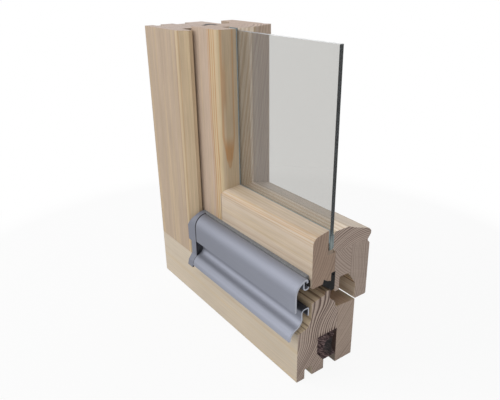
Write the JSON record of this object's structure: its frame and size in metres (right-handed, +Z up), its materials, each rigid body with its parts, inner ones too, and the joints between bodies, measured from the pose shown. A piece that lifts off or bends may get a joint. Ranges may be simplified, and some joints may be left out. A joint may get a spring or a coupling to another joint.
{
  "type": "timber window corner section",
  "caption": "Cut-away corner of an inward-opening laminated timber window: sill, jamb, sash, pane, beads, seals and an aluminium rain rail.",
  "frame": {"origin": "centre of the section's box, on the underside of the sill", "axes": "+X along the sill from the jamb to the sawn end, +Y from the outside into the room, +Z up"},
  "size_m": [0.248, 0.093, 0.2915],
  "materials": {
    "pine": "planed pine, clear lacquer",
    "core": "rough dark core",
    "glass": "clear float glass",
    "tape": "black glazing tape",
    "block": "matt plastic",
    "seal": "black rubber",
    "grey_seal": "grey rubber",
    "aluminium": "matt anodised",
    "cap": "matt grey plastic"
  },
  "bodies": {
    "root": {"sill_outer_board": "pine", "sill_inner_board": "pine", "jamb_outer_board": "pine", "jamb_inner_board": "pine", "sash_rail_outer_board": "pine", "sash_rail_middle_board": "pine", "sash_rail_inner_board": "pine", "sash_stile_outer_board": "pine", "sash_stile_middle_board": "pine", "sash_stile_inner_board": "pine", "glazing_bead_bottom": "pine", "glazing_bead_side": "pine", "sill_core_strip": "core", "glass_pane": "glass", "glazing_tape_outer_bottom": "tape", "glazing_tape_outer_side": "tape", "glazing_tape_inner_bottom": "tape", "glazing_tape_inner_side": "tape", "setting_block_corner": "block", "setting_block_end": "block", "weather_seal_bottom": "seal", "weather_seal_side": "seal", "rain_rail_cover": "aluminium", "rain_rail_skirt": "aluminium", "rain_rail_gasket": "seal", "rain_rail_top_seal": "grey_seal", "rain_rail_end_cap": "cap"}
  },
  "joints": []
}
